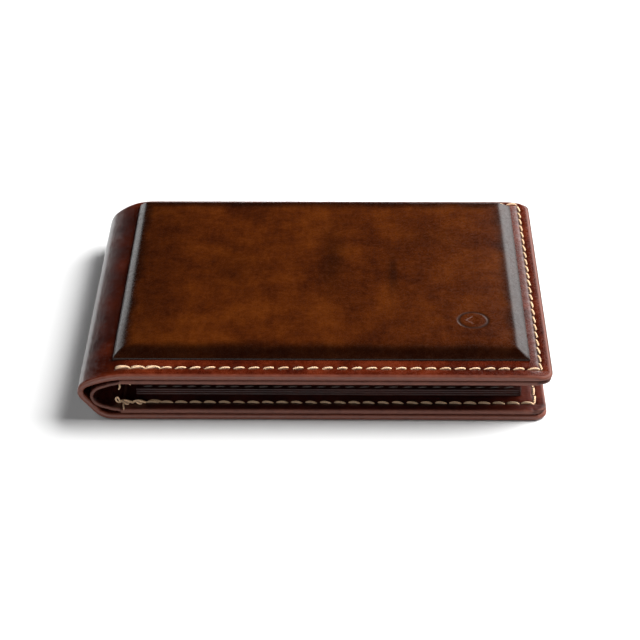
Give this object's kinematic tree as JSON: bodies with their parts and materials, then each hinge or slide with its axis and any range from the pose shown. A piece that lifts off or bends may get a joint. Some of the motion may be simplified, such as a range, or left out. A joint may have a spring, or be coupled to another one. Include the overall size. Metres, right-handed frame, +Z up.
{
  "type": "bifold wallet",
  "caption": "Bifold leather wallet with a raised bevelled front panel, card pockets, a full-length note space and a fold that opens flat.",
  "frame": {"origin": "middle of the closed wallet's footprint, on the surface it lies on", "axes": "+X from the fold towards the free edge, +Y from the sewn front edge towards the note opening, +Z up from the back cover to the front cover"},
  "size_m": [0.114, 0.089, 0.0151],
  "materials": {
    "cover_leather": "aniline leather, semi-gloss",
    "panel_leather": "hand-burnished leather, semi-gloss",
    "inner_leather": "satin leather",
    "pocket_leather": "satin leather",
    "lining_cloth": "matt woven cloth",
    "board": "matt",
    "thread": "waxed thread"
  },
  "bodies": {
    "back_half": {"back_cover": "cover_leather", "back_lining": "lining_cloth", "back_note_divider": "inner_leather", "back_pocket_top": "pocket_leather", "back_pocket_middle": "pocket_leather", "back_pocket_bottom": "pocket_leather", "back_seam_stitching": "thread", "back_pocket_stitching": "thread", "back_thread_ends": "thread", "back_inner_fold": "inner_leather"},
    "fold_lower": {"fold_cover_lower": "cover_leather", "inner_fold_lower": "inner_leather"},
    "fold_nose": {"fold_cover_nose": "cover_leather"},
    "fold_upper": {"fold_cover_upper": "cover_leather", "inner_fold_upper": "inner_leather"},
    "front_half": {"front_inner_fold": "inner_leather", "front_cover": "cover_leather", "front_lining": "lining_cloth", "front_note_divider": "inner_leather", "front_pocket_top": "pocket_leather", "front_pocket_middle": "pocket_leather", "front_pocket_bottom": "pocket_leather", "front_seam_stitching": "thread", "front_pocket_stitching": "thread", "front_thread_ends": "thread", "panel_board": "board", "panel_leather": "panel_leather"}
  },
  "joints": [
    {"name": "lower_bend", "type": "hinge", "parent": "back_half", "child": "fold_lower", "pos_m": [-0.05116, 0, 0.00056], "axis": [0, -1, 0], "range_deg": [-0.28, 50]},
    {"name": "nose_lower_bend", "type": "hinge", "parent": "fold_lower", "child": "fold_nose", "pos_m": [-0.05691, 0, 0.00703], "axis": [0, -1, 0], "range_deg": [-0.29, 52.5]},
    {"name": "nose_upper_bend", "type": "hinge", "parent": "fold_nose", "child": "fold_upper", "pos_m": [-0.05634, 0, 0.00962], "axis": [0, -1, 0], "range_deg": [-0.29, 52.5]},
    {"name": "opening_fold", "type": "hinge", "parent": "fold_upper", "child": "front_half", "pos_m": [-0.05011, 0, 0.01221], "axis": [0, -1, 0], "range_deg": [-0.14, 25]}
  ],
  "couplings": [
    {"joint": "lower_bend", "follows": "opening_fold", "ratio": 2},
    {"joint": "nose_lower_bend", "follows": "opening_fold", "ratio": 2.1},
    {"joint": "nose_upper_bend", "follows": "opening_fold", "ratio": 2.1}
  ]
}
